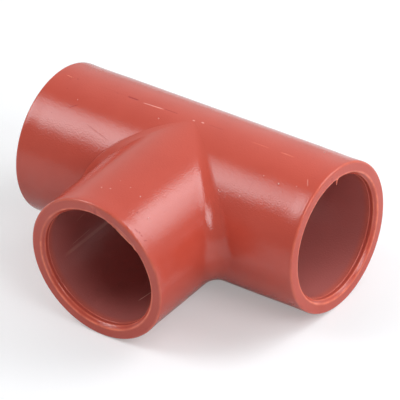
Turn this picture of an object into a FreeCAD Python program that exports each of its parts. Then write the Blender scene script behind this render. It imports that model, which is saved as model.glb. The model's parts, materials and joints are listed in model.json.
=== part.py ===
import FreeCAD
import Part
import math
import os

# Equal tee for solvent-welded pipe, moulded in one piece
# The run lies along X, the branch points along -Y, and +Z is up.
# The origin is the point where the centre lines of the three sockets meet.
# All sizes are in millimetres and degrees.

Vector = FreeCAD.Vector

# Pipe and socket
PIPE_DIAMETER = 25.0
SOCKET_EASE = 0.1            # room between the pipe and the socket wall, on the radius
SOCKET_WALL = 2.9
SOCKET_DEPTH = 21.2          # from the mouth's face to the pipe stop

# Pipe stop
STOP_HEIGHT = 1.8            # how far the stop stands in from the socket wall
STOP_EDGE_BEVEL = 0.4        # bevel where the stop meets the waterway

# Waterway left between the crossing and the pipe stops
RUN_LAND = 1.4
BRANCH_LAND = 0.9

# Mouths
LEAD_IN_WIDTH = 0.7          # bevel inside each mouth, on the radius
LEAD_IN_DEPTH = 0.65
ENTRY_BAND_STEP = 0.06       # shallow wider band behind the bevel, on the radius
ENTRY_BAND_DEPTH = 1.45      # from the mouth's face to the end of that band
MOUTH_EDGE_RADIUS = 0.5      # worn edge between the mouth's face and the barrel
MOUTH_EDGE_STEPS = 2         # straight steps that follow that edge

# Crotch between the run and the branch
CROTCH_RADIUS = 4.0
BLEND_SINK = 1 / 400         # a blend is let into its walls by this share of its radius
BLEND_OVERLAP = 0.25         # how far a blend's sides reach into the walls, in its own radii
BLEND_ROOT = 1.5             # how far a blend reaches back from the ball's centre, in its own radii
BLEND_SLICES = 17
BLEND_FADE_ANGLE = 5.0       # a blend has faded out this far from the top and the bottom

# Scar left on the branch mouth where the moulding gate was trimmed off
GATE_SCAR_ANGLE = 54.0       # round the branch mouth, from +X towards +Z
GATE_WEB_THICKNESS = 0.6     # web of plastic left in the bevel
GATE_CUT_SLOPE = 9.0         # the knife's slope across the mouth's face
GATE_CUT_DEPTH = 0.16        # how deep the knife went at the edge of the web
GATE_CUT_WIDTH = 7.0

# Sizes that follow
SOCKET_RADIUS = PIPE_DIAMETER / 2 + SOCKET_EASE
OUTER_RADIUS = SOCKET_RADIUS + SOCKET_WALL
WATERWAY_RADIUS = SOCKET_RADIUS - STOP_HEIGHT
ENTRY_BAND_RADIUS = SOCKET_RADIUS + ENTRY_BAND_STEP
MOUTH_RADIUS = SOCKET_RADIUS + LEAD_IN_WIDTH
RUN_REACH = WATERWAY_RADIUS + RUN_LAND + SOCKET_DEPTH
BRANCH_REACH = WATERWAY_RADIUS + BRANCH_LAND + SOCKET_DEPTH
BALL_REACH = OUTER_RADIUS + CROTCH_RADIUS * (1 - BLEND_SINK)

CENTRE = Vector(0, 0, 0)
ALONG_RUN = Vector(1, 0, 0)
ALONG_BRANCH = Vector(0, -1, 0)
UP = Vector(0, 0, 1)
SIDES = (1, -1)              # the right and the left of the branch
FULL_TURN = 360
HALF_TURN = 180
RIGHT_ANGLE = 90


def turned(outline, axis, start):
    """A solid turned about an axis through the centre.

    The outline's points are (radius, distance along the axis), and start is the direction
    in which the outline lies before it is turned.
    """
    points = [start * radius + axis * along for radius, along in outline]
    profile = Part.Face(Part.makePolygon(points + points[:1]))
    return profile.revolve(CENTRE, axis, FULL_TURN)


def both_ways(half):
    """An outline for the run, made of the half from the centre to a mouth and its mirror."""
    return half + [(radius, -along) for radius, along in reversed(half)]


def barrel_half(reach):
    """The outside of one barrel from the centre to the rim of its face."""
    half = [(OUTER_RADIUS, reach - MOUTH_EDGE_RADIUS)]
    for step in range(1, MOUTH_EDGE_STEPS + 1):
        angle = math.radians(RIGHT_ANGLE * step / MOUTH_EDGE_STEPS)
        inwards = MOUTH_EDGE_RADIUS * (1 - math.cos(angle))
        outwards = MOUTH_EDGE_RADIUS * (1 - math.sin(angle))
        half.append((OUTER_RADIUS - inwards, reach - outwards))
    return half + [(0, reach)]


def space_half(reach):
    """The inside of one barrel from the centre to its mouth: waterway, stop and socket."""
    stop = reach - SOCKET_DEPTH
    return [
        (WATERWAY_RADIUS, stop - STOP_EDGE_BEVEL),
        (WATERWAY_RADIUS + STOP_EDGE_BEVEL, stop),
        (SOCKET_RADIUS, stop),
        (SOCKET_RADIUS, reach - ENTRY_BAND_DEPTH),
        (ENTRY_BAND_RADIUS, reach - ENTRY_BAND_DEPTH),
        (ENTRY_BAND_RADIUS, reach - LEAD_IN_DEPTH),
        (MOUTH_RADIUS, reach),
        (0, reach),
    ]


def run_form(half):
    """A turned solid along the whole run, with its joint line at the back."""
    return turned(both_ways(half), ALONG_RUN, -ALONG_BRANCH)


def branch_form(half, radius):
    """A turned solid from the centre along the branch, with its joint line at the right."""
    return turned([(0, 0), (radius, 0)] + half, ALONG_BRANCH, ALONG_RUN)


def blend_slice(side, angle):
    """One slice across a crotch, from the centre of a ball that touches both barrels to behind
    their walls. The angle is measured from the top.
    """
    out = math.sin(angle)
    up = math.cos(angle)
    centre = Vector(side * out, -out, up) * BALL_REACH
    to_run = Vector(0, out, -up) * CROTCH_RADIUS
    to_branch = Vector(-side * out, 0, -up) * CROTCH_RADIUS
    in_run = centre + to_run * (1 + BLEND_OVERLAP)
    in_branch = centre + to_branch * (1 + BLEND_OVERLAP)
    root = centre + (to_run + to_branch) * BLEND_ROOT
    return Part.makePolygon([centre, in_run, root, in_branch, centre])


def rolling_ball(side):
    """The space swept by the ball as it rolls down a crotch, touching both barrels."""
    path = Part.Ellipse(Vector(side, -1, 0) * BALL_REACH, UP * BALL_REACH, CENTRE)
    end = math.radians(RIGHT_ANGLE - BLEND_FADE_ANGLE / 2)
    track = path.toShape(-end, end)
    start = track.FirstParameter
    ring = Part.makeCircle(CROTCH_RADIUS, track.valueAt(start), track.tangentAt(start))
    return Part.Wire([track]).makePipeShell([Part.Wire([ring])], True, True)


def crotch_blend(side):
    """The filling in one crotch: a wedge behind the ball, hollowed by the ball's sweep."""
    span = HALF_TURN - 2 * BLEND_FADE_ANGLE
    steps = [i / (BLEND_SLICES - 1) for i in range(BLEND_SLICES)]
    angles = [math.radians(BLEND_FADE_ANGLE + span * step) for step in steps]
    wedge = Part.makeLoft([blend_slice(side, angle) for angle in angles], True, True)
    return wedge.cut(rolling_ball(side))


def outside():
    """The tee as a solid: the run, the branch and the filling of both crotches."""
    run = run_form(barrel_half(RUN_REACH))
    branch = branch_form(barrel_half(BRANCH_REACH), OUTER_RADIUS)
    return run.fuse([branch] + [crotch_blend(side) for side in SIDES])


def gate_prism(outline, width):
    """A prism on the branch mouth, centred on the gate scar and lying across it.

    The outline's points are (distance from the centre line, distance along the branch).
    """
    angle = math.radians(GATE_SCAR_ANGLE)
    out = Vector(math.cos(angle), 0, math.sin(angle))
    across = ALONG_BRANCH.cross(out)
    edge = across * (-width / 2)
    corners = [out * distance + ALONG_BRANCH * along + edge for distance, along in outline]
    return Part.Face(Part.makePolygon(corners + corners[:1])).extrude(across * width)


def gate_web():
    """Web of plastic that the gate left inside the bevel, straight along its inner edge."""
    inner = BRANCH_REACH - GATE_WEB_THICKNESS
    outline = [
        (SOCKET_RADIUS, inner),
        (OUTER_RADIUS, inner),
        (OUTER_RADIUS, BRANCH_REACH),
        (SOCKET_RADIUS, BRANCH_REACH),
    ]
    return gate_prism(outline, 2 * OUTER_RADIUS)


def knife_cut():
    """The shallow slanting cut that took the gate off, deepest at the web's inner edge."""
    run_out = GATE_CUT_DEPTH / math.tan(math.radians(GATE_CUT_SLOPE))
    outline = [
        (SOCKET_RADIUS, BRANCH_REACH - GATE_CUT_DEPTH),
        (SOCKET_RADIUS + run_out, BRANCH_REACH),
        (SOCKET_RADIUS, BRANCH_REACH),
    ]
    return gate_prism(outline, GATE_CUT_WIDTH)


def tee_body():
    run_space = run_form(space_half(RUN_REACH))
    branch_space = branch_form(space_half(BRANCH_REACH), WATERWAY_RADIUS).cut(gate_web())
    return outside().cut(run_space).cut(branch_space).cut(knife_cut())


os.makedirs("parts", exist_ok=True)
body = tee_body()
body.exportStep("parts/tee_body.step")
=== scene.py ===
import json
import math

import bpy
from mathutils import Matrix, Vector


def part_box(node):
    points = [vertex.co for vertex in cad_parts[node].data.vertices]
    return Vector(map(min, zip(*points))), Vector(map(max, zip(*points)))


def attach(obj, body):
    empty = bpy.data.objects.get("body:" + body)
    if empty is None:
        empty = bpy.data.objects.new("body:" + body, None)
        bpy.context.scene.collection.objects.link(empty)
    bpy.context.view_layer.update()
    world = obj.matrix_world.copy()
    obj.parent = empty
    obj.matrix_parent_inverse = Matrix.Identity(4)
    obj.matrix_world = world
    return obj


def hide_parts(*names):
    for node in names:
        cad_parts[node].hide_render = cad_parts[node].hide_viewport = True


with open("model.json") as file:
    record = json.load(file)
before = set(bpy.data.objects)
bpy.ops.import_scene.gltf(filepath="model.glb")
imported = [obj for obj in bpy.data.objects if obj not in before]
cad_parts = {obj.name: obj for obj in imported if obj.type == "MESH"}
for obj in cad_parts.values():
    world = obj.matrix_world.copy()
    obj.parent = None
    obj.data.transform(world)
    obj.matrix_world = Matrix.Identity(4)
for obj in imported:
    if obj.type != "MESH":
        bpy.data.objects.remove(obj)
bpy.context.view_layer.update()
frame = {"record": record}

bl_info = {
    "name": "Moulded Pipe Tee",
    "version": (1, 0, 0),
    "blender": (4, 5, 0),
    "location": "3D View > Sidebar > Pipe Tee",
    "description": "Builds a moulded plastic pipe tee with its mould marks, material and studio",
    "category": "Add Mesh",
}

# Lengths are in metres. The run lies along X, the branch points along -Y, and +Z is up.
MM = 0.001
LOW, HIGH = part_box("tee_body")
BODY = "root"


def mount(name):
    """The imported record's entry for one interface of the tee."""
    return next(entry for entry in frame["record"]["mounts"] if entry["name"] == name)


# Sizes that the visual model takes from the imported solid
OUTER_RADIUS = HIGH.z
RUN_REACH = HIGH.x
BRANCH_REACH = -LOW.y
SOCKET_RADIUS = mount("right_socket")["dims"]["r_mm"] * MM
ENTRY_BAND_DEPTH = 1.45 * MM
SOCKET_DEPTH = mount("right_socket")["dims"]["length_mm"] * MM + ENTRY_BAND_DEPTH
WATERWAY_RADIUS = mount("waterway_centre")["dims"]["r_mm"] * MM
FLASH_HEIGHT = 0.03 * MM


def length(name, description, default):
    """A length that a user can change."""
    return bpy.props.FloatProperty(
        name=name, description=description, default=default, unit="LENGTH", precision=5
    )


def colour(name, description, default):
    return bpy.props.FloatVectorProperty(
        name=name, description=description, default=default, size=3, subtype="COLOR", min=0, max=1
    )


def amount(name, description, default, highest=1):
    """A plain number from 0 up that a user can change."""
    return bpy.props.FloatProperty(
        name=name, description=description, default=default, min=0, max=highest
    )


class PipeTeeForm(bpy.types.PropertyGroup):
    """Sizes of the moulding."""

    outer_radius: length(
        "Outer Radius", "Outside radius of the barrels", OUTER_RADIUS - FLASH_HEIGHT
    )
    run_reach: length("Run Reach", "From the centre to a mouth of the run", RUN_REACH)
    branch_reach: length("Branch Reach", "From the centre to the branch's mouth", BRANCH_REACH)
    socket_radius: length("Socket Radius", "Radius of the socket wall", SOCKET_RADIUS)
    waterway_radius: length("Waterway Radius", "Radius inside the pipe stops", WATERWAY_RADIUS)
    socket_depth: length("Socket Depth", "From a mouth's face to its pipe stop", SOCKET_DEPTH)
    stop_bevel: length("Stop Bevel", "Bevel where a stop meets the waterway", 0.4 * MM)
    mouth_radius: length("Mouth Radius", "Radius where the lead-in meets the face", 13.3 * MM)
    lead_in_depth: length("Lead-in Depth", "Depth of the lead-in bevel", 0.65 * MM)
    band_radius: length("Band Radius", "Radius of the shallow band", 12.66 * MM)
    band_depth: length("Band Depth", "From the face to the end of the band", ENTRY_BAND_DEPTH)
    edge_radius: length("Edge Radius", "Rounding of a mouth's outer edge", 0.5 * MM)
    waist: length("Waist", "How far a barrel is drawn in behind its mouth", 0.08 * MM)
    crotch_radius: length("Crotch Radius", "Rounding between run and branch", 4.0 * MM)
    crease_low: length("Crease Below", "From the seam to the left crease, low down", 2.4 * MM)
    crease_high: length("Crease Above", "From the seam to the left crease, near the top", 3.7 * MM)
    turn_steps: bpy.props.IntProperty(
        name="Turn Steps", description="Faces round each barrel", default=192, min=24, step=4
    )


class PipeTeeGate(bpy.types.PropertyGroup):
    """The scar of the trimmed gate on the branch's mouth."""

    angle: bpy.props.FloatProperty(
        name="Angle",
        description="Round the branch's mouth, from +X towards +Z",
        default=math.radians(56.0),
        subtype="ANGLE",
    )
    distance: length("Distance", "From the centre line to the web's edge", 12.55 * MM)
    thickness: length("Thickness", "Thickness of the web", 0.6 * MM)
    waviness: length("Waviness", "How far the web's edge wanders", 0.2 * MM)
    cut_depth: length("Cut Depth", "Depth of the knife cut behind the web's lip", 0.24 * MM)
    cut_width: length("Cut Width", "Width of the knife cut", 7.0 * MM)


class PipeTeeFinish(bpy.types.PropertyGroup):
    """Colours and gloss of the plastic."""

    plastic: colour("Plastic", "Main colour of the plastic", (0.55, 0.078, 0.048))
    mottle: colour("Mottle", "Slightly darker clouds in the plastic", (0.518, 0.068, 0.041))
    # Painted shade and haze: the bore colour is a darker, greyer red deep in the sockets, where
    # shade falls
    bore: colour("Bore", "Duller skin deep in the sockets", (0.45, 0.13, 0.115))
    # A painted highlight colour for the mouths' edges, the gate's lip, the flash and the burr
    worn: colour("Worn", "Edges that have been rubbed bright", (0.93, 0.23, 0.13))
    # Dark scratches, a smudge and pits, and also painted shade: the knife's cut, the parting line's
    # notches and the mould line
    stain: colour("Stain", "Dark scratches, pits and knife marks", (0.36, 0.02, 0.016))
    # Pale scratches, and also painted highlights: on the flash along the parting line and on the
    # gate's lip
    chalk: colour("Chalk", "Pale scratches and flash", (0.93, 0.5, 0.42))
    lint: colour("Lint", "Specks of lint", (0.9, 0.78, 0.74))
    gloss: amount("Gloss", "Roughness of the moulded skin", 0.065)
    bore_gloss: amount("Bore Gloss", "Roughness deep in the sockets", 0.21)


class PipeTeeTraces(bpy.types.PropertyGroup):
    """Mould flash, the burr on the right mouth, and specks of lint."""

    flash_width: length("Flash Width", "Thickness of the flash before it is let in", 0.2 * MM)
    burr_width: length("Burr Width", "Thickness of the burr's thread", 0.32 * MM)
    speck_size: length("Speck Size", "Width of a common speck", 0.27 * MM)


class PipeTeeStage(bpy.types.PropertyGroup):
    """The studio's floor and room."""

    floor_colour: colour("Floor Colour", "Colour of the paper floor", (0.7, 0.7, 0.7))
    floor_glow: amount("Floor Glow", "Lifts the floor to white", 0.3)
    room_front: amount("Room in Front", "Light from the front of the room", 0.3, 2)
    room_back: amount("Room Behind", "Light from the back of the room", 0.74, 2)


# Node trees

GEOMETRY = "NodeSocketGeometry"
MATERIAL = "NodeSocketMaterial"
VECTOR = "NodeSocketVector"
FLOAT = "NodeSocketFloat"
NUMBERS = {float: FLOAT, int: "NodeSocketInt"}


def feed(socket, value):
    """Gives an input its value: a link from another socket, or a plain number, vector or colour."""
    if isinstance(value, bpy.types.NodeSocket):
        socket.id_data.links.new(value, socket)
    else:
        socket.default_value = value


def fill(inputs, **values):
    """Feeds inputs by name, with _ for each space."""
    for name, value in values.items():
        feed(inputs[name.replace("_", " ")], value)


def add(tree, kind, *values, **named):
    """Adds a node. Names in small letters are its settings, and the others are its inputs.

    Values without a name go to its first inputs that are in use.
    """
    node = tree.nodes.new(kind)
    for name, setting in named.items():
        if name.islower():
            setattr(node, name, setting)
    in_use = [socket for socket in node.inputs if socket.enabled]
    for socket, value in zip(in_use, values):
        feed(socket, value)
    fill(node.inputs, **{name: value for name, value in named.items() if not name.islower()})
    return node


def outlet(node):
    """The first output of a node that is in use."""
    return next(socket for socket in node.outputs if socket.enabled)


def made(kind, *values, **named):
    """What a node makes of its values, in the tree of the first socket among them."""
    given = (*values, *named.values())
    tree = next(value.id_data for value in given if isinstance(value, bpy.types.NodeSocket))
    return outlet(add(tree, kind, *values, **named))


def calc(operation, *values):
    return made("ShaderNodeMath", *values, operation=operation)


def plus(first, second):
    return calc("ADD", first, second)


def minus(first, second):
    return calc("SUBTRACT", first, second)


def product(first, *others):
    """Several numbers multiplied, one after the other."""
    for other in others:
        first = calc("MULTIPLY", first, other)
    return first


def sine_and_cosine(angle):
    return calc("SINE", angle), calc("COSINE", angle)


def vector_calc(operation, *values, **inputs):
    return made("ShaderNodeVectorMath", *values, operation=operation, **inputs)


def scaled(vector, factor):
    return vector_calc("SCALE", vector, Scale=factor)


def dot(first, second):
    return vector_calc("DOT_PRODUCT", first, second)


def combined(x, y, z):
    return made("ShaderNodeCombineXYZ", x, y, z)


def split(vector):
    return add(vector.id_data, "ShaderNodeSeparateXYZ", vector).outputs


def blended(share, first, second, kind="FLOAT"):
    """A number, vector or colour between two others."""
    return made("ShaderNodeMix", share, first, second, data_type=kind)


def ramped(value, low, high, at_low=0.0, at_high=1.0, kind="SMOOTHSTEP"):
    """A number that goes smoothly from one value to another while another rises."""
    ends = (low, high, at_low, at_high)
    return made("ShaderNodeMapRange", value, *ends, interpolation_type=kind)


def faded(value, low, high, at_high=0.0):
    """A number that goes smoothly down from 1 while another rises."""
    return ramped(value, low, high, 1.0, at_high)


def noise(place, scale, detail):
    """Soft noise between 0 and 1."""
    return made("ShaderNodeTexNoise", place, Scale=scale, Detail=detail)


def numbers(*titles):
    """Inputs of a group that take plain numbers."""
    return dict.fromkeys(titles, 0.0)


def new_tree(name, inlets, **outlets):
    """A node group with its inputs and outputs, each given by its socket type or its default.

    It is a shader group, unless it puts out geometry.
    """
    kind = "GeometryNodeTree" if GEOMETRY in outlets.values() else "ShaderNodeTree"
    tree = bpy.data.node_groups.new(name, kind)
    for title, default in inlets.items():
        socket_type = NUMBERS.get(type(default), default)
        socket = tree.interface.new_socket(title, in_out="INPUT", socket_type=socket_type)
        if socket_type is not default:
            socket.default_value = default
    for title, socket_type in outlets.items():
        tree.interface.new_socket(title, in_out="OUTPUT", socket_type=socket_type)
    return tree, tree.nodes.new("NodeGroupInput").outputs, tree.nodes.new("NodeGroupOutput").inputs


def group_node(tree, group, given=(), **values):
    """Places a group in a tree. Inputs that aren't named take what is given under their name."""
    node = add(tree, group.bl_idname.replace("Tree", "Group"), node_tree=group)
    for socket in node.inputs:
        if socket.name in given and socket.name.replace(" ", "_") not in values:
            feed(socket, given[socket.name])
    fill(node.inputs, **values)
    return node


def put(name, data):
    """A new object in the scene."""
    item = bpy.data.objects.new(name, data)
    bpy.context.scene.collection.objects.link(item)
    return item


def mark_points(mesh, **layers):
    """Gives each point of a mesh its number in each layer."""
    for name, values in layers.items():
        mesh.attributes.new(name, "FLOAT", "POINT").data.foreach_set("value", values)


# Outline of one barrel, from the crotch round its mouth and back to the crossing of the waterways

CORNER_STEPS = 5
END_STEPS = 12
# Depths below a mouth's face: where the fixed wall starts, and the waist's ends and rim
WALL_DEPTH = 12.9 * MM
WAIST_START = 11.0 * MM
WAIST_END = 3.3 * MM
RIM_DEPTH = 1.1 * MM
# Faces are short down to the close depth, and longer beyond it
CLOSE_DEPTH = 1.6 * MM
CLOSE_STEP = 0.2 * MM
FAR_STEP = 1.4 * MM


def eased_corner(before, corner, after, ease):
    """Points of a soft corner that starts and ends the given distance from it."""
    start = corner + (before - corner).normalized() * ease
    end = corner + (after - corner).normalized() * ease
    points = []
    for step in range(CORNER_STEPS + 1):
        t = step / CORNER_STEPS
        points.append(start * (1 - t) ** 2 + corner * 2 * t * (1 - t) + end * t ** 2)
    return points


def filled_line(points):
    """The same points with more between them, closest together near the mouth."""
    line = [points[0]]
    for start, end in zip(points, points[1:]):
        longest = CLOSE_STEP if max(start.y, end.y) < CLOSE_DEPTH else FAR_STEP
        steps = max(1, math.ceil((end - start).length / longest))
        line += [start.lerp(end, step / steps) for step in range(1, steps + 1)]
    return line


def barrel_outline(form):
    """(radius, depth below the mouth's face) of the fixed part of a barrel's wall."""
    stop = form.socket_depth
    # Radius, depth, and how far from the corner its rounding starts
    corners = [
        (form.outer_radius, WALL_DEPTH, 0),
        (form.outer_radius, WAIST_START, 1.0 * MM),
        (form.outer_radius - form.waist, WAIST_END, 0.7 * MM),
        (form.outer_radius, RIM_DEPTH, 0.3 * MM),
        (form.outer_radius, 0, form.edge_radius),
        (form.mouth_radius, 0, 0.2 * MM),
        (form.band_radius, form.lead_in_depth, 0.12 * MM),
        (form.band_radius, form.band_depth, 0.03 * MM),
        (form.socket_radius, form.band_depth + 0.05 * MM, 0.03 * MM),
        (form.socket_radius, stop, 0.15 * MM),
        (form.waterway_radius + form.stop_bevel, stop, 0.12 * MM),
        (form.waterway_radius, stop + form.stop_bevel, 0.12 * MM),
        (form.waterway_radius, stop + 2 * form.stop_bevel, 0),
    ]
    places = [Vector((radius, depth)) for radius, depth, _ in corners]
    line = [places[0]]
    for i in range(1, len(corners) - 1):
        line += eased_corner(*places[i - 1:i + 2], corners[i][2])
    line.append(places[-1])
    return filled_line(line)


def edge_highlight_at(form, point):
    """How strongly a point of the outline is painted with the edge highlight: most at the mouth's
    sharp edges.
    """
    # Radius and depth of each edge, how strong its painted highlight is and how far that reaches
    edges = (
        (form.mouth_radius, 0, 1.0, 0.32 * MM),
        (form.outer_radius, 0, 0.5, 0.45 * MM),
        (form.band_radius, form.lead_in_depth, 0.6, 0.22 * MM),
        (form.socket_radius, form.band_depth, 0.4, 0.15 * MM),
    )
    near = [
        weight * (1 - (point - Vector((radius, depth))).length / reach)
        for radius, depth, weight, reach in edges
    ]
    return max(0, *near)


def outline_object(form):
    """The outline as a line of vertices, for the node tree to turn.

    share is 0 where a point keeps its depth and 1 where it lies on the end curve of its barrel, and
    end_reach is that curve's greatest distance from the centre.
    """
    line = barrel_outline(form)
    outer_reach = form.outer_radius + form.crotch_radius
    end_shares = [1 - i / END_STEPS for i in range(END_STEPS)]
    outer = [(line[0], share, outer_reach) for share in end_shares]
    inner = [(line[-1], share, form.waterway_radius) for share in reversed(end_shares)]
    entries = outer + [(point, 0.0, 0.0) for point in line] + inner
    points, shares, end_reaches = zip(*entries)
    mesh = bpy.data.meshes.new("barrel_outline")
    edges = [(i, i + 1) for i in range(len(points) - 1)]
    mesh.from_pydata([(point.x, point.y, 0) for point in points], edges, [])
    inside = form.mouth_radius - form.edge_radius
    mouth = next(i for i, point in enumerate(points) if point.x < inside and point.y > 0)
    depths = [point.y / form.socket_depth for point in points]
    mark_points(
        mesh,
        share=shares,
        end_reach=end_reaches,
        in_bore=[0] * mouth + depths[mouth:],
        edge_wear=[edge_highlight_at(form, point) for point in points],
    )
    return put("tee_moulding", mesh)


# The moulding's node tree

CROTCH_SIZES = ("Outer Radius", "Crotch Radius", "Crease Low", "Crease High")
GATE_SIZES = tuple(
    "Gate " + size
    for size in ("Angle", "Distance", "Thickness", "Waviness", "Cut Depth", "Cut Width")
)
# How much closer the rows are at the top and the bottom, where the parting line is
TURN_CROWDING = 0.22
SEAM_GAP = 3e-7
ARC_STEPS = 14
# The crease: its share of the way from run to branch, and the sines between which it moves
CREASE_SHARE = 0.25
SHARE_SLACK = 0.001
CREASE_DIP = 0.09 * MM
CREASE_STEPS = 40
CREASE_SINES = (0.2, 0.55)
FOLD_SHARE = 0.45
# The gate's scar, from the web's edge outwards, and from the ends of the cut
LIP_FALL = (0.05 * MM, 0.5 * MM)
CUT_RUN_OUT = (0.5 * MM, 2.1 * MM)
CUT_SIDES = (-0.8 * MM, 0.3 * MM)
BEVEL_SLACK = 0.05 * MM
FACE_DEPTH = 0.2 * MM
WEB_NOISE = {"scale": 900.0, "detail": 2.0}


def turn_angle(row, steps):
    """The angle from the top of one row of faces, with the rows closer at the top and bottom."""
    even = product(calc("DIVIDE", row, steps), math.tau)
    wave = calc("SINE", product(even, 2.0))
    return minus(even, product(wave, TURN_CROWDING))


def named_number(tree, name):
    return outlet(add(tree, "GeometryNodeInputNamedAttribute", name, data_type="FLOAT"))


def turned_grid(tree, given, columns, rows):
    """A grid to bend round a barrel, with the column, sine and cosine of each of its points."""
    grid = made("GeometryNodeMeshGrid", Vertices_X=columns, Vertices_Y=rows)
    index = outlet(add(tree, "GeometryNodeInputIndex"))
    column = calc("FLOOR", calc("DIVIDE", plus(index, 0.5), rows))
    row = minus(index, product(column, rows))
    return grid, column, *sine_and_cosine(turn_angle(row, given["Turn Steps"]))


def end_tree(tree, geometry, material, result):
    """Ends a tree with smooth faces, real meshes and their material."""
    smooth = made("GeometryNodeSetShadeSmooth", geometry)
    solid = made("GeometryNodeRealizeInstances", smooth)
    feed(result[0], made("GeometryNodeSetMaterial", solid, Material=material))
    return tree


def barrel_group():
    """A barrel along +X, turned from the outline, whose inner ends follow the crossing curves."""
    inlets = {"Outline": GEOMETRY, "Turn Steps": 0, **numbers("Reach", "Both Sides")}
    tree, given, result = new_tree("Barrel", inlets, Barrel=GEOMETRY)
    size = add(tree, "GeometryNodeAttributeDomainSize", given["Outline"])
    rows = plus(given["Turn Steps"], 1.0)
    columns = size.outputs["Point Count"]
    grid, column, sine, cosine = turned_grid(tree, given, columns, rows)

    def from_outline(field, kind="FLOAT"):
        """What the outline holds at the point of this column."""
        source = {"Geometry": given["Outline"], "Value": field, "Index": column}
        return made("GeometryNodeSampleIndex", data_type=kind, **source)

    outline_place = outlet(add(tree, "GeometryNodeInputPosition"))
    radius, depth, _ = split(from_outline(outline_place, "FLOAT_VECTOR"))
    share = from_outline(named_number(tree, "share"))
    end_reach = from_outline(named_number(tree, "end_reach"))
    other_side = product(sine, -1.0, given["Both Sides"])
    end = product(end_reach, calc("MAXIMUM", sine, other_side))
    along = blended(share, minus(given["Reach"], depth), end)
    across = product(radius, sine, -1.0)
    place = combined(along, across, product(radius, cosine))
    turned = made("GeometryNodeSetPosition", grid, Position=place)
    marked = made("GeometryNodeFlipFaces", turned)
    for name in ("in_bore", "edge_wear"):
        layer = {"Name": name, "Value": from_outline(named_number(tree, name))}
        marked = made("GeometryNodeStoreNamedAttribute", marked, data_type="FLOAT", **layer)
    feed(result["Barrel"], marked)
    return tree


def crotch_group():
    """The crotch on the right: the face of a ball that touches run and branch.

    Where Creased is 1, the run's wall goes on to a crease instead, and the rounding starts there.
    Turned about, that one makes the left crotch.
    """
    inlets = {"Turn Steps": 0, "Arc Steps": ARC_STEPS, **numbers("Creased", *CROTCH_SIZES)}
    tree, given, result = new_tree("Crotch", inlets, Crotch=GEOMETRY)
    outer, ball = given["Outer Radius"], given["Crotch Radius"]
    rows = plus(calc("DIVIDE", given["Turn Steps"], 2.0), 1.0)
    columns = plus(given["Arc Steps"], 1.0)
    grid, column, sine, cosine = turned_grid(tree, given, columns, rows)
    minus_sine = product(sine, -1.0)
    minus_cosine = product(cosine, -1.0)
    centre = scaled(combined(sine, minus_sine, cosine), plus(outer, ball))
    to_run = combined(0.0, sine, minus_cosine)
    to_branch = combined(minus_sine, 0.0, minus_cosine)
    share = calc("DIVIDE", column, given["Arc Steps"])
    on_run = scaled(to_run, minus(1.0, share))
    towards = vector_calc("ADD", on_run, scaled(to_branch, share))
    face = scaled(vector_calc("NORMALIZE", towards), ball)
    rounded = vector_calc("ADD", centre, face)

    def level_point(past_run, past_branch):
        """A point level with both walls, so far past their seam along each barrel."""
        x = product(plus(outer, past_run), sine)
        y = product(plus(outer, past_branch), minus_sine)
        return combined(x, y, product(outer, cosine))

    reaches = (given["Crease High"], given["Crease Low"])
    crease_reach = ramped(sine, *CREASE_SINES, *reaches, "LINEAR")
    fold_reach = product(crease_reach, FOLD_SHARE)
    start = level_point(ball, 0.0)
    crease = level_point(crease_reach, 0.0)
    fold = level_point(fold_reach, fold_reach)
    end = level_point(0.0, ball)
    to_crease = product(share, 1 / CREASE_SHARE)
    on_wall = blended(to_crease, start, crease, "VECTOR")
    bend = calc("DIVIDE", minus(share, CREASE_SHARE), 1 - CREASE_SHARE)
    first_leg = blended(bend, crease, fold, "VECTOR")
    second_leg = blended(bend, fold, end, "VECTOR")
    curved = blended(bend, first_leg, second_leg, "VECTOR")
    past_crease = calc("GREATER_THAN", share, CREASE_SHARE + SHARE_SLACK)
    folded = blended(past_crease, on_wall, curved, "VECTOR")
    at_crease = calc("COMPARE", share, CREASE_SHARE, SHARE_SLACK)
    dip = scaled(to_run, product(at_crease, sine, CREASE_DIP))
    folded = vector_calc("ADD", folded, dip)
    place = blended(given["Creased"], rounded, folded, "VECTOR")
    feed(result["Crotch"], made("GeometryNodeSetPosition", grid, Position=place))
    return tree


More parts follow.
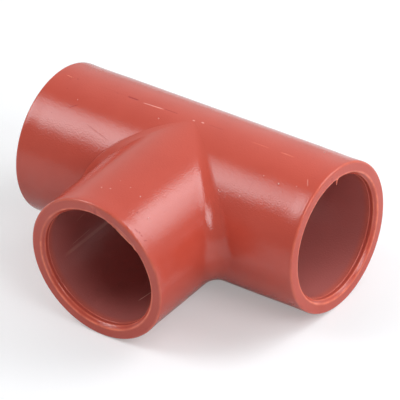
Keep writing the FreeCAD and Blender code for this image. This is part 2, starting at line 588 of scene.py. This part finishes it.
def gate_group():
    """The gate's scar on a mouth at +X: a straight web in the bevel and a slanting knife cut."""
    inlets = {"Mouth": GEOMETRY, **numbers("Reach", "Mouth Radius", *GATE_SIZES)}
    tree, given, result = new_tree("Gate Scar", inlets, Mouth=GEOMETRY)
    place = outlet(add(tree, "GeometryNodeInputPosition"))
    along, side, up = split(place)
    sine, cosine = sine_and_cosine(given["Gate Angle"])
    outwards = combined(0.0, cosine, sine)
    sideways = combined(0.0, product(sine, -1.0), cosine)
    distance = dot(place, outwards)
    across = dot(place, sideways)
    depth = minus(given["Reach"], along)
    radius = vector_calc("LENGTH", combined(0.0, side, up))
    uneven_line = noise(combined(across, 0.0, 0.0), **WEB_NOISE)
    wander = product(minus(uneven_line, 0.5), given["Gate Waviness"], 2.0)
    edge = plus(given["Gate Distance"], wander)
    past_edge = minus(distance, edge)
    bevel = plus(given["Mouth Radius"], BEVEL_SLACK)
    in_bevel = calc("LESS_THAN", radius, bevel)
    in_web = calc("LESS_THAN", depth, given["Gate Thickness"])
    pull = product(in_bevel, in_web, calc("MAXIMUM", past_edge, 0.0))
    web = scaled(outwards, product(pull, -1.0))
    behind_lip = ramped(past_edge, *LIP_FALL)
    run_out = ramped(past_edge, *CUT_RUN_OUT, 1.0, 0.0, "LINEAR")
    half_width = product(given["Gate Cut Width"], 0.5)
    away = minus(calc("ABSOLUTE", across), half_width)
    on_face = calc("LESS_THAN", depth, FACE_DEPTH)
    sides = faded(away, *CUT_SIDES)
    cut = product(behind_lip, run_out, on_face, sides, given["Gate Cut Depth"], -1.0)
    offset = vector_calc("ADD", web, combined(cut, 0.0, 0.0))
    feed(result["Mouth"], made("GeometryNodeSetPosition", given["Mouth"], Offset=offset))
    return tree


def turned_about(geometry, x, y, z):
    """The same geometry, turned by the given angles."""
    return made("GeometryNodeTransform", geometry, Rotation=(x, y, z))


def moulding_tree():
    """The whole tee: three barrels and two crotches, joined into one closed skin."""
    sizes = numbers("Run Reach", "Branch Reach", "Mouth Radius", *CROTCH_SIZES, *GATE_SIZES)
    inlets = {"Outline": GEOMETRY, "Turn Steps": 0, **sizes, "Plastic": MATERIAL}
    tree, given, result = new_tree("Moulded Tee", inlets, Tee=GEOMETRY)
    barrel, crotch = barrel_group(), crotch_group()
    run_reach, branch_reach = given["Run Reach"], given["Branch Reach"]
    run = group_node(tree, barrel, given, Reach=run_reach)
    branch = group_node(tree, barrel, given, Reach=branch_reach, Both_Sides=1.0)
    scarred = group_node(tree, gate_group(), given, Mouth=outlet(branch), Reach=branch_reach)
    smooth_crotch = group_node(tree, crotch, given)
    creased_crotch = group_node(tree, crotch, given, Creased=1.0, Arc_Steps=CREASE_STEPS)
    right_half = [outlet(run), outlet(smooth_crotch)]
    left_parts = [outlet(run), outlet(creased_crotch)]
    left_half = [turned_about(part, 0, math.pi, 0) for part in left_parts]
    front = turned_about(outlet(scarred), 0, 0, -math.pi / 2)
    join = add(tree, "GeometryNodeJoinGeometry")
    for part in right_half + left_half + [front]:
        tree.links.new(part, join.inputs["Geometry"])
    merged = made("GeometryNodeMergeByDistance", outlet(join), Distance=SEAM_GAP)
    return end_tree(tree, merged, given["Plastic"], result)


def grown(carrier, tree, values):
    """Runs a node tree on an object and leaves its result there as a plain mesh."""
    modifier = carrier.modifiers.new(tree.name, "NODES")
    modifier.node_group = tree
    for socket in tree.interface.items_tree:
        if socket.in_out == "INPUT" and socket.name in values:
            modifier[socket.identifier] = values[socket.name]
    graph = bpy.context.evaluated_depsgraph_get()
    mesh = bpy.data.meshes.new_from_object(carrier.evaluated_get(graph), depsgraph=graph)
    carrier.modifiers.remove(modifier)
    mesh.name = carrier.name
    carrier.data = mesh
    return carrier


def finish_piece(piece):
    """The piece moves with the tee."""
    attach(piece, BODY)
    return piece


# Plastic

IOR = 1.55
BUMP_HEIGHT = 0.02 * MM
# How strong the skin's ripple and grain are, their scales and their detail
RIPPLE, RIPPLE_SCALE = 2.0, 160.0
GRAIN, GRAIN_SCALE = 2.0, 3300.0
SKIN_DETAIL = 2.0
CLOUD_SCALE = 90.0
# How the painted edge highlight wanders over the surface: its scale and its span
EDGE_HIGHLIGHT_SCALE, EDGE_HIGHLIGHT_SPAN = 500.0, (0.45, 1.1)
# Patches: the detail of their noise, and the part of its range that they use
PATCH_DETAIL, PATCH_RANGE = 4.0, (0.3, 0.7)
# The share of the socket's depth over which its skin turns rougher and takes the bore's painted
# shade and haze
BORE_FADE = 0.16
# A scratch reaches this far below its line and above it, which is less than the wall's thickness
SCRATCH_REACH = 0.85 * MM
# Where a scratch fades, in shares of its half width and of its half length
SCRATCH_SIDES, SCRATCH_ENDS = (0.3, 1.0), (0.6, 1.0)
# Pits: how close they are, how many places have one, and where they fade in shares of the radius
PIT_SCALE, PIT_SHARE, PIT_RIM, PIT_RADIUS = 700.0, 0.3, (0.5, 1.0), 0.13 * MM
# How dark pits are, how dark the knife's cut is painted as the shade of its slanting face, and how
# pale its lip is painted as a highlight
PIT_DARK, CUT_DARK, LIP_PALE = 0.5, 0.25, 0.08
# How much rougher the cut, the clouds and the edges with the painted highlight are
CUT_ROUGH, CLOUD_ROUGH, EDGE_HIGHLIGHT_ROUGH = 0.08, 0.03, 0.12
# How far pale marks stand up and dark ones are sunk, beside the skin's own height
PALE_RISE, DARK_RISE = 1.2, -1.5
# The knife's marks on the branch's face: from the web's edge outwards, and along the cut
MARK_NOISE = {"scale": 1100.0, "detail": 3.0}
MARK_WANDER = 0.5 * MM
MARK_START = -0.3 * MM
MARK_DEPTH = 0.4 * MM
LIP_END = (0.25 * MM, 0.5 * MM)
LIP_FAINT = (0.2 * MM, 1.5 * MM)
LIP_FAINT_SHARE = 0.15
LIP_LEFT = (-4.3 * MM, -3.4 * MM)
CUT_START = (0.2 * MM, 0.5 * MM)
CUT_STOP = (1.2 * MM, 1.9 * MM)
CUT_EDGES = (0.6, 1.1)


def grain_group():
    """Height of the moulded skin: soft ripple and fine grain."""
    inlets = {"Place": VECTOR, **numbers("Ripple", "Grain")}
    tree, given, result = new_tree("Moulded Skin", inlets, Height=FLOAT)
    height = 0.0
    for name, scale in (("Ripple", RIPPLE_SCALE), ("Grain", GRAIN_SCALE)):
        swell = noise(given["Place"], scale, SKIN_DETAIL)
        height = calc("MULTIPLY_ADD", swell, given[name], height)
    feed(result["Height"], height)
    return tree


def scratch_group():
    """Mask of one straight scratch through its middle, on the face that looks along Out."""
    vectors = dict.fromkeys(("Place", "Middle", "Along", "Side", "Out"), VECTOR)
    inlets = {**vectors, **numbers("Half Length", "Half Width", "Strength")}
    tree, given, result = new_tree("Scratch", inlets, Mask=FLOAT)
    offset = vector_calc("SUBTRACT", given["Place"], given["Middle"])
    across, along, beneath = (
        calc("ABSOLUTE", dot(offset, given[way])) for way in ("Side", "Along", "Out")
    )
    wide = faded(calc("DIVIDE", across, given["Half Width"]), *SCRATCH_SIDES)
    far = faded(calc("DIVIDE", along, given["Half Length"]), *SCRATCH_ENDS)
    here = calc("LESS_THAN", beneath, SCRATCH_REACH)
    feed(result["Mask"], product(wide, here, far, given["Strength"]))
    return tree


def pits_group():
    """Mask of small pits, scattered at random."""
    inlets = {"Place": VECTOR, "Scale": PIT_SCALE, "Share": PIT_SHARE, "Radius": 0.0}
    tree, given, result = new_tree("Pits", inlets, Mask=FLOAT)
    cells = add(tree, "ShaderNodeTexVoronoi", given["Place"], Scale=given["Scale"]).outputs
    gap = calc("DIVIDE", cells["Distance"], given["Scale"])
    gap = calc("DIVIDE", gap, given["Radius"])
    chance = split(cells["Color"])[0]
    picked = calc("LESS_THAN", chance, given["Share"])
    feed(result["Mask"], product(faded(gap, *PIT_RIM), picked))
    return tree


def gate_mark_group():
    """Masks of the lip and the cut that the knife left on the branch's face, where the plastic
    paints a highlight and a shade.
    """
    vectors = dict.fromkeys(("Place", "Outwards", "Sideways"), VECTOR)
    inlets = {**vectors, **numbers("Distance", "Half Width")}
    tree, given, result = new_tree("Gate Mark", inlets, Lip=FLOAT, Cut=FLOAT)
    place = given["Place"]
    past = minus(dot(place, given["Outwards"]), given["Distance"])
    across = dot(place, given["Sideways"])
    wander = minus(noise(place, **MARK_NOISE), 0.5)
    ragged = calc("MULTIPLY_ADD", wander, MARK_WANDER, past)
    depth = plus(split(place)[1], BRANCH_REACH)
    on_face = calc("LESS_THAN", depth, MARK_DEPTH)
    here = product(on_face, calc("GREATER_THAN", past, MARK_START))
    right = faded(across, *LIP_FAINT, LIP_FAINT_SHARE)
    left = ramped(across, *LIP_LEFT)
    lip = product(faded(ragged, *LIP_END), right, left, here)
    sides = calc("DIVIDE", calc("ABSOLUTE", across), given["Half Width"])
    start, stop = ramped(ragged, *CUT_START), faded(ragged, *CUT_STOP)
    fill(result, Lip=lip, Cut=product(start, stop, here, faded(sides, *CUT_EDGES)))
    return tree


# Scratches and marks: where they start and end and how wide they are (mm), the axis of the
# barrel that they lie on, and their strength, which is negative for a dark one
SCRATCHES = (
    ((-25.3, -7.1, 13.7), (-23.7, -5.9, 14.3), 0.22, "X", -0.8),
    ((-20.2, -8.7, 12.9), (-12.8, -10.2, 11.7), 0.12, "X", -0.5),
    # Along the parting line on top, the short dark dashes are painted shadows of notches in the
    # flash, and the pale marks are painted highlights on it
    ((-28.5, -0.1, 15.5), (-28.1, -0.1, 15.5), 0.3, "X", -0.8),
    ((-18.7, -0.1, 15.5), (-18.3, -0.1, 15.5), 0.24, "X", -0.6),
    ((-24.5, 0.05, 15.5), (-15.5, 0.05, 15.5), 0.16, "X", -0.2),
    ((-16.2, 0.05, 15.5), (-13.2, 0.05, 15.5), 0.55, "X", -1.0),
    ((-12.4, -0.2, 15.5), (-7.0, 0.15, 15.5), 0.2, "X", 0.8),
    ((-7.5, 0.25, 15.5), (-3.7, 0.27, 15.5), 0.26, "X", -0.8),
    ((-0.2, -0.05, 15.5), (0.4, 0.0, 15.5), 0.36, "X", 0.7),
    ((1.7, 0.28, 15.5), (2.4, 0.28, 15.5), 0.36, "X", 0.7),
    ((3.2, 0.33, 15.5), (7.2, 0.35, 15.5), 0.2, "X", -0.45),
    # A mould line round the right barrel: a fine groove, with its shade painted as a dark mark
    ((20.05, -7.6, 13.5), (20.02, -11.4, 10.5), 0.16, "X", -0.22),
    ((29.9, -4.0, 14.9), (31.0, -5.6, 14.4), 0.3, "X", 0.3),
    ((33.4, -1.3, 13.6), (33.4, -0.6, 13.7), 0.5, "X", -0.3),
    ((25.0, -6.8, 13.9), (25.5, -7.4, 13.6), 0.45, "X", -0.45),
    ((-12.2, -18.6, -3.15), (-12.1, -25.4, -3.4), 0.16, "Y", 0.35),
    ((-11.85, -11.0, -4.35), (-11.85, -28.5, -4.25), 1.0, "Y", 0.22),
    ((1.9, -23.5, -12.45), (2.5, -19.4, -12.36), 0.3, "Y", 1.0),
    ((-12.6, -19.4, 0.97), (-12.6, -22.7, 0.5), 0.16, "Y", 0.3),
    ((0.7, -32.9, 13.8), (1.5, -32.9, 13.8), 0.9, "Y", -0.4),
    ((9.4, -31.56, 12.3), (10.2, -31.56, 11.7), 0.28, "Y", -0.9),
    ((10.1, -31.3, 11.7), (10.5, -31.3, 11.4), 0.38, "Y", -0.9),
    ((10.6, -31.4, 11.2), (11.0, -31.4, 10.9), 0.34, "Y", -0.9),
    ((11.5, -31.7, 10.4), (11.8, -31.0, 10.1), 0.28, "Y", -0.8),
    ((7.5, -28.3, 13.5), (7.8, -28.3, 13.3), 0.28, "Y", -0.8),
)
AXES = {"X": Vector((1, 0, 0)), "Y": Vector((0, 1, 0))}


def scratch_masks(tree, place):
    """The pale and the dark scratches and marks, each as one mask; some are painted highlights and
    shadows.
    """
    group = scratch_group()
    masks = {True: 0.0, False: 0.0}
    for start, end, width, axis, strength in SCRATCHES:
        start, end = Vector(start) * MM, Vector(end) * MM
        middle = (start + end) / 2
        along = (end - start).normalized()
        outwards = middle - AXES[axis] * middle.dot(AXES[axis])
        side = along.cross(outwards).normalized()
        scratch = group_node(
            tree,
            group,
            Place=place,
            Middle=middle,
            Along=along,
            Side=side,
            Out=side.cross(along),
            Half_Length=(end - start).length / 2,
            Half_Width=width * MM / 2,
            Strength=abs(strength),
        )
        masks[strength > 0] = plus(masks[strength > 0], outlet(scratch))
    return masks[True], masks[False]


def uneven(place, scale, low=0.0, high=1.0):
    """A number that wanders over the surface between two others."""
    return ramped(noise(place, scale, PATCH_DETAIL), *PATCH_RANGE, low, high)


def bumped(height):
    """The normal of a skin with this height."""
    return made("ShaderNodeBump", Distance=BUMP_HEIGHT, Height=height)


def new_material(name):
    """A material, its tree and its shader's inputs."""
    material = bpy.data.materials.new(name)
    material.use_nodes = True
    tree = material.node_tree
    return material, tree, tree.nodes["Principled BSDF"].inputs


def place_on_piece(tree):
    return add(tree, "ShaderNodeTexCoord").outputs["Object"]


def plastic_material(finish, gate):
    """Glossy moulded plastic: faint clouds, fine grain, scratches, edges painted with a highlight,
    and duller bores painted with shade.
    """
    material, tree, shader = new_material("glossy_red_plastic")
    place = place_on_piece(tree)
    bore, edge = (
        add(tree, "ShaderNodeAttribute", attribute_name=name).outputs["Fac"]
        for name in ("in_bore", "edge_wear")
    )
    clouds = uneven(place, CLOUD_SCALE)
    # Deep in the sockets the skin turns rougher and is painted with shade and haze
    deep = ramped(bore, 0.0, BORE_FADE)
    out = Vector((math.cos(gate.angle), 0, math.sin(gate.angle)))
    marks = group_node(
        tree,
        gate_mark_group(),
        Place=place,
        Outwards=out,
        Sideways=(-out.z, 0, out.x),
        Distance=gate.distance,
        Half_Width=gate.cut_width / 2,
    )
    lip, cut = marks.outputs
    # The mouths' edges, the gate's lip, the flash and the burr are painted a brighter orange as a
    # highlight
    worn = product(edge, uneven(place, EDGE_HIGHLIGHT_SCALE, *EDGE_HIGHLIGHT_SPAN))
    worn = calc("MAXIMUM", worn, lip)
    pale, dark = scratch_masks(tree, place)
    # The gate's lip is painted paler as a highlight
    pale = calc("MULTIPLY_ADD", lip, LIP_PALE, pale)
    pits = group_node(tree, pits_group(), Place=place, Radius=PIT_RADIUS)
    pitted = product(outlet(pits), minus(1.0, deep))
    # Pits are darker, and the knife's cut is painted darker as the shade of its slanting face
    for mask, share in ((pitted, PIT_DARK), (cut, CUT_DARK)):
        dark = calc("MAXIMUM", dark, product(mask, share))
    tint = blended(clouds, (*finish.plastic, 1), (*finish.mottle, 1), "RGBA")
    for share, shade in (
        (deep, finish.bore), (worn, finish.worn), (dark, finish.stain), (pale, finish.chalk)
    ):
        tint = blended(share, tint, (*shade, 1), "RGBA")
    rough = blended(deep, finish.gloss, finish.bore_gloss)
    for mask, share in ((cut, CUT_ROUGH), (clouds, CLOUD_ROUGH), (worn, EDGE_HIGHLIGHT_ROUGH)):
        rough = calc("MULTIPLY_ADD", mask, share, rough)
    height = outlet(group_node(tree, grain_group(), Place=place, Ripple=RIPPLE, Grain=GRAIN))
    for mask, rise in ((pale, PALE_RISE), (dark, DARK_RISE)):
        height = calc("MULTIPLY_ADD", mask, rise, height)
    fill(shader, Base_Color=tint, Roughness=rough, IOR=IOR, Normal=bumped(height))
    return material


def sizes_of(group, prefix=""):
    """A property group's values, by the names of the inputs that they go to."""
    names = group.__annotations__
    return {prefix + name.replace("_", " ").title(): getattr(group, name) for name in names}


def build_moulding(form, gate, finish):
    """The tee itself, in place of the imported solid."""
    sizes = {**sizes_of(form), **sizes_of(gate, "Gate ")}
    values = {**sizes, "Plastic": plastic_material(finish, gate)}
    tee = finish_piece(grown(outline_object(form), moulding_tree(), values))
    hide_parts("tee_body")


# Flash, burr and specks


def thread_tree():
    """Turns lines of points into closed threads that are as thick as each point says."""
    inlets = {"Lines": GEOMETRY, "Sides": 10, "Plastic": MATERIAL}
    tree, given, result = new_tree("Threads", inlets, Threads=GEOMETRY)
    lines = made("GeometryNodeMeshToCurve", given["Lines"])
    profile = made("GeometryNodeCurvePrimitiveCircle", given["Sides"], 1.0)
    shape = {"Scale": named_number(tree, "half_width"), "Fill Caps": True}
    threads = made("GeometryNodeCurveToMesh", lines, profile, **shape)
    return end_tree(tree, threads, given["Plastic"], result)


def lines_object(name, lines):
    """Lines of (place, half width) as a mesh of edges for the thread tree."""
    places, widths, edges = [], [], []
    for line in lines:
        first = len(places)
        places += [place for place, _ in line]
        widths += [width for _, width in line]
        edges += [(i, i + 1) for i in range(first, len(places) - 1)]
    mesh = bpy.data.meshes.new(name)
    mesh.from_pydata(places, edges, [])
    # Threads in the plastic take its full painted edge highlight
    mark_points(mesh, half_width=widths, edge_wear=[1.0] * len(widths))
    return put(name, mesh)


# Where flash runs along the top and the bottom: from x to x (mm), and its share of full height
FLASHES = ((-31.0, -29.4, 0.35), (-11.9, -7.0, 1.0), (14.1, 18.1, 0.35), (20.9, 23.8, 0.8))
FLASH_STEP = 0.35 * MM
FLASH_SHIFT = 0.1 * MM
FLASH_WOBBLE = 0.06 * MM
# How fast its line wobbles and its height ripples, and by what share
WOBBLE_TURNS, RIPPLE_TURNS, RIPPLE_SHARE = 37, 61, 0.15
# How thin its ends are, how bluntly it swells from them, and where that starts and stops
END_SHARE, END_BLUNTNESS, SWELL_SPAN = 0.45, 0.4, (0.02, 0.98)


def flash_line(form, traces, start, end, height, side):
    """A line of points along the top (side 1) or the bottom (side -1) of the run."""
    half_width = traces.flash_width / 2
    steps = math.ceil((end - start) / FLASH_STEP)
    line = []
    for step in range(steps + 1):
        share = step / steps
        along = min(max(share, SWELL_SPAN[0]), SWELL_SPAN[1])
        swell = math.sin(math.pi * along) ** END_BLUNTNESS
        wobble = FLASH_WOBBLE * math.sin(WOBBLE_TURNS * share + start / MM)
        thick = half_width * (END_SHARE + (1 - END_SHARE) * swell)
        ripple = 1 - RIPPLE_SHARE + RIPPLE_SHARE * math.sin(RIPPLE_TURNS * share)
        level = form.outer_radius + FLASH_HEIGHT * height * swell * ripple - thick
        line.append(((start + (end - start) * share, wobble - FLASH_SHIFT, side * level), thick))
    return line


# The burr that hangs from the right mouth: y, z, depth below its face (mm), and share of width
BURR = (
    (-0.6, 13.66, 0.13, 0.55),
    (-0.2, 13.86, 0.14, 0.8),
    (0.25, 13.88, 0.16, 0.95),
    (0.62, 13.6, 0.17, 1.0),
    (0.76, 13.15, 0.18, 1.0),
    (0.74, 12.7, 0.2, 0.95),
    (0.68, 12.25, 0.26, 0.85),
    (0.76, 11.85, 0.32, 0.6),
)
BURR_SPUR = (
    (0.74, 12.8, 0.2, 0.7),
    (1.04, 12.9, 0.22, 0.7),
    (1.38, 13.12, 0.26, 0.6),
    (1.62, 13.35, 0.3, 0.5),
)


def build_flash(form, traces, plastic):
    """Flash along the run, and the burr on its right mouth."""
    flash = [
        flash_line(form, traces, start * MM, end * MM, height, side)
        for start, end, height in FLASHES
        for side in (1, -1)
    ]
    half_width = traces.burr_width / 2
    burr = [
        [
            ((form.run_reach - depth * MM, y * MM, z * MM), half_width * share)
            for y, z, depth, share in line
        ]
        for line in (BURR, BURR_SPUR)
    ]
    for name, lines in (("mould_flash", flash), ("mouth_burr", burr)):
        finish_piece(grown(lines_object(name, lines), thread_tree(), {"Plastic": plastic}))


# Specks of lint on the skin: where they are (mm), and their size beside a common one
SPECKS = (
    ((-6.4, -2.75, 15.24), 0.9),
    ((0.4, -23.8, 15.44), 0.5),
    ((-1.37, -27.46, 15.4), 0.9),
    ((0.36, -26.9, 15.44), 1.0),
    ((3.14, -24.3, 15.14), 0.7),
    ((5.8, -24.8, 14.33), 0.6),
    ((9.5, -27.4, 12.2), 1.1),
    ((13.95, -11.2, 10.72), 1.0),
    ((14.3, -11.3, 10.62), 0.6),
    ((18.7, -10.9, 10.98), 0.7),
    ((21.4, -6.55, 14.02), 0.9),
    ((25.2, -7.0, 13.78), 1.2),
    ((27.2, 5.36, 14.5), 0.8),
    ((28.9, -6.3, 14.11), 0.6),
    ((33.33, -10.8, 8.26), 0.8),
    ((33.36, -14.0, -1.6), 0.6),
    ((-24.6, -5.0, 14.6), 0.6),
    ((-19.0, 7.6, 13.4), 0.8),
    ((8.0, 12.6, 8.9), 0.8),
    ((-30.0, 9.0, 12.5), 0.7),
)
SPECK_THINNESS = 0.7
LINT_SCALE = 3000.0
LINT_ROUGHNESS = 0.6


def speck_tree():
    """Small turned blobs, one on each point."""
    inlets = {"Points": GEOMETRY, "Size": 0.0, "Seed": 4, "Lint": MATERIAL}
    tree, given, result = new_tree("Specks", inlets, Specks=GEOMETRY)
    ball = outlet(add(tree, "GeometryNodeMeshIcoSphere", Radius=0.5, Subdivisions=2))
    span = {"Min": (0, 0, 0), "Max": (math.tau, math.tau, math.tau), "Seed": given["Seed"]}
    turn = made("FunctionNodeRandomValue", data_type="FLOAT_VECTOR", **span)
    size = product(given["Size"], named_number(tree, "half_width"))
    thin = product(size, SPECK_THINNESS)
    pose = {"Instance": ball, "Rotation": turn, "Scale": combined(size, thin, thin)}
    placed = made("GeometryNodeInstanceOnPoints", given["Points"], **pose)
    return end_tree(tree, placed, given["Lint"], result)


def lint_material(finish):
    """Pale, dull lint with a little of the plastic's colour in it."""
    material, tree, shader = new_material("pale_lint")
    patches = uneven(place_on_piece(tree), LINT_SCALE)
    tint = blended(patches, (*finish.lint, 1), (*finish.chalk, 1), "RGBA")
    fill(shader, Base_Color=tint, Roughness=LINT_ROUGHNESS, Normal=bumped(patches))
    return material


def build_specks(traces, finish):
    """Lint on the skin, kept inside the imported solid's box."""
    points = []
    for place, share in SPECKS:
        room = traces.speck_size * share / 2
        limits = (RUN_REACH - room, math.inf, OUTER_RADIUS - room)
        spot = [min(value * MM, limit) for value, limit in zip(place, limits)]
        points.append([(spot, share)])
    values = {"Size": traces.speck_size, "Lint": lint_material(finish)}
    finish_piece(grown(lines_object("lint_specks", points), speck_tree(), values))


# Studio

CAMERA_AZIMUTH = math.radians(38.895)
CAMERA_ELEVATION = math.radians(34.601)
CAMERA_ROLL = math.radians(-4.181)
CAMERA_DISTANCE = 0.8799
CAMERA_SLIDE = (0.000339, -0.002697)
CAMERA_LENS = 405.6
CAMERA_CLIP = 10
FLOOR_HALF = 1.5
FLOOR_ROUGHNESS = 0.9
# How much of the floor's glow shows in glossy plastic
GLOW_IN_GLOSS = 0.2
# How far back the room reaches its brightness behind
ROOM_TURN = 0.8
LAMP_COLOUR = (0.93, 0.96, 1.0)
# Name, azimuth, elevation, roll (degrees), distance, (width, height), brightness, plateaus, leans
LAMPS = (
    ("left_softbox", -61, 47.1, -8.6, 0.81, (0.565, 0.79), 5.1, (0.38, 0.15), (0.13, -0.6)),
    ("right_softbox", 129.8, 42, 23.9, 0.27, (0.234, 0.212), 4.1, (0.38, 0.68), (0.47, 0.39)),
    ("side_softbox", 75, 37, 0, 0.5, (0.27, 0.23), 5.2, (0.9, 0.9), (0.0, 0.0)),
)


def direction_to(azimuth, elevation):
    """The way to a lamp or the camera. Azimuth 0 faces the branch, and 90 degrees is at +X."""
    level = math.cos(elevation)
    return Vector((math.sin(azimuth) * level, -math.cos(azimuth) * level, math.sin(elevation)))


def add_camera():
    """The photograph's camera: a long lens, turned about the tee's centre."""
    away = direction_to(CAMERA_AZIMUTH, CAMERA_ELEVATION)
    level = Vector((math.cos(CAMERA_AZIMUTH), math.sin(CAMERA_AZIMUTH), 0))
    upright = away.cross(level)
    right = math.cos(CAMERA_ROLL) * level + math.sin(CAMERA_ROLL) * upright
    top = -math.sin(CAMERA_ROLL) * level + math.cos(CAMERA_ROLL) * upright
    camera = put("camera", bpy.data.cameras.new("camera"))
    camera.data.lens = CAMERA_LENS
    camera.data.clip_end = CAMERA_CLIP
    place = away * CAMERA_DISTANCE + right * CAMERA_SLIDE[0] + top * CAMERA_SLIDE[1]
    turn = Matrix((right, top, away)).transposed()
    camera.matrix_world = Matrix.Translation(place) @ turn.to_4x4()
    bpy.context.scene.camera = camera


def shape_lamp(data, plateaus, leans):
    """Shades a lamp's face: an even middle that fades towards the edges and leans to one side.

    Each plateau is the even share of the width or height, and each lean says how much brighter
    the far side is than the middle.
    """
    data.use_nodes = True
    tree = data.node_tree
    place = split(add(tree, "ShaderNodeNewGeometry").outputs["Parametric"])
    strength = 1.0
    for along, plateau, lean in zip(place, plateaus, leans):
        from_middle = product(minus(along, 0.5), 2.0)
        fade = faded(calc("ABSOLUTE", from_middle), plateau, 1.0)
        tilt = calc("MULTIPLY_ADD", from_middle, lean, 1.0)
        strength = product(strength, product(fade, tilt))
    feed(tree.nodes["Emission"].inputs["Strength"], strength)


def add_lamp(name, azimuth, elevation, roll, distance, size, brightness, plateaus, leans):
    """A soft panel that faces the tee, as bright as a white page where brightness is 1."""
    way = direction_to(math.radians(azimuth), math.radians(elevation))
    data = bpy.data.lights.new(name, "AREA")
    data.shape = "RECTANGLE"
    data.size, data.size_y = size
    data.energy = brightness * math.pi * size[0] * size[1]
    data.color = LAMP_COLOUR
    shape_lamp(data, plateaus, leans)
    lamp = put(name, data)
    facing = way.to_track_quat("Z", "Y").to_matrix() @ Matrix.Rotation(math.radians(roll), 3, "Z")
    lamp.matrix_world = Matrix.Translation(way * distance) @ facing.to_4x4()
    lamp.visible_camera = False


def floor_material(stage):
    """White paper that shows white and keeps the shadow."""
    material, tree, shader = new_material("white_floor")
    path = add(tree, "ShaderNodeLightPath").outputs
    in_gloss = product(path["Is Glossy Ray"], GLOW_IN_GLOSS)
    seen = calc("MAXIMUM", path["Is Camera Ray"], in_gloss)
    seen = calc("MAXIMUM", seen, path["Is Transmission Ray"])
    glow = product(seen, stage.floor_glow)
    fill(shader, Base_Color=(*stage.floor_colour, 1), Roughness=FLOOR_ROUGHNESS)
    fill(shader, Emission_Color=(1, 1, 1, 1), Emission_Strength=glow)
    return material


def add_floor(stage):
    """A wide pale floor under the tee."""
    mesh = bpy.data.meshes.new("floor")
    corners = [
        (x * FLOOR_HALF, y * FLOOR_HALF, LOW.z) for x, y in ((-1, -1), (1, -1), (1, 1), (-1, 1))
    ]
    mesh.from_pydata(corners, [], [(0, 1, 2, 3)])
    mesh.materials.append(floor_material(stage))
    put("floor", mesh)


def set_world(stage):
    """A dim room, darker in front of the branch than behind it."""
    world = bpy.data.worlds.new("studio")
    world.use_nodes = True
    tree = world.node_tree
    way = split(add(tree, "ShaderNodeTexCoord").outputs["Generated"])
    shade = ramped(way[1], 0.0, ROOM_TURN, stage.room_front, stage.room_back, "LINEAR")
    fill(tree.nodes["Background"].inputs, Color=(1, 1, 1, 1), Strength=shade)
    bpy.context.scene.world = world


def build_stage(stage):
    add_floor(stage)
    set_world(stage)
    for lamp in LAMPS:
        add_lamp(*lamp)
    add_camera()
    bpy.context.scene.view_settings.view_transform = "Standard"


# Operators, panel and registration


class PIPETEE_OT_moulding(bpy.types.Operator):
    """Build the moulded tee"""

    bl_idname = "pipetee.moulding"
    bl_label = "Moulded Tee"

    def execute(self, context):
        scene = context.scene
        build_moulding(scene.pipetee_form, scene.pipetee_gate, scene.pipetee_finish)
        return {"FINISHED"}


class PIPETEE_OT_flash(bpy.types.Operator):
    """Build the mould flash along the run and the burr on its right mouth"""

    bl_idname = "pipetee.flash"
    bl_label = "Flash and Burr"

    def execute(self, context):
        scene = context.scene
        plastic = bpy.data.materials["glossy_red_plastic"]
        build_flash(scene.pipetee_form, scene.pipetee_traces, plastic)
        return {"FINISHED"}


class PIPETEE_OT_specks(bpy.types.Operator):
    """Scatter the specks of lint on the skin"""

    bl_idname = "pipetee.specks"
    bl_label = "Specks"

    def execute(self, context):
        scene = context.scene
        build_specks(scene.pipetee_traces, scene.pipetee_finish)
        return {"FINISHED"}


class PIPETEE_OT_stage(bpy.types.Operator):
    """Build the floor, the lights, the world and the camera"""

    bl_idname = "pipetee.stage"
    bl_label = "Studio"

    def execute(self, context):
        build_stage(context.scene.pipetee_stage)
        return {"FINISHED"}


class PIPETEE_PT_sidebar(bpy.types.Panel):
    """Lists the sizes, the colours and the steps of the tee"""

    bl_label = "Pipe Tee"
    bl_idname = "PIPETEE_PT_sidebar"
    bl_space_type = "VIEW_3D"
    bl_region_type = "UI"
    bl_category = "Pipe Tee"

    def draw(self, context):
        scene = context.scene
        for title in GROUPS:
            box = self.layout.box()
            group = getattr(scene, title)
            for name in group.__annotations__:
                box.prop(group, name)
        for operator in OPERATORS:
            self.layout.operator(operator.bl_idname)


OPERATORS = (PIPETEE_OT_moulding, PIPETEE_OT_flash, PIPETEE_OT_specks, PIPETEE_OT_stage)
GROUPS = {
    "pipetee_form": PipeTeeForm,
    "pipetee_gate": PipeTeeGate,
    "pipetee_finish": PipeTeeFinish,
    "pipetee_traces": PipeTeeTraces,
    "pipetee_stage": PipeTeeStage,
}
CLASSES = (*GROUPS.values(), *OPERATORS, PIPETEE_PT_sidebar)


def register():
    for cls in CLASSES:
        bpy.utils.register_class(cls)
    for name, group in GROUPS.items():
        setattr(bpy.types.Scene, name, bpy.props.PointerProperty(type=group))


def unregister():
    for name in GROUPS:
        delattr(bpy.types.Scene, name)
    for cls in reversed(CLASSES):
        bpy.utils.unregister_class(cls)


def main():
    register()
    bpy.ops.pipetee.moulding()
    bpy.ops.pipetee.flash()
    bpy.ops.pipetee.specks()
    bpy.ops.pipetee.stage()


if __name__ == "__main__":
    main()
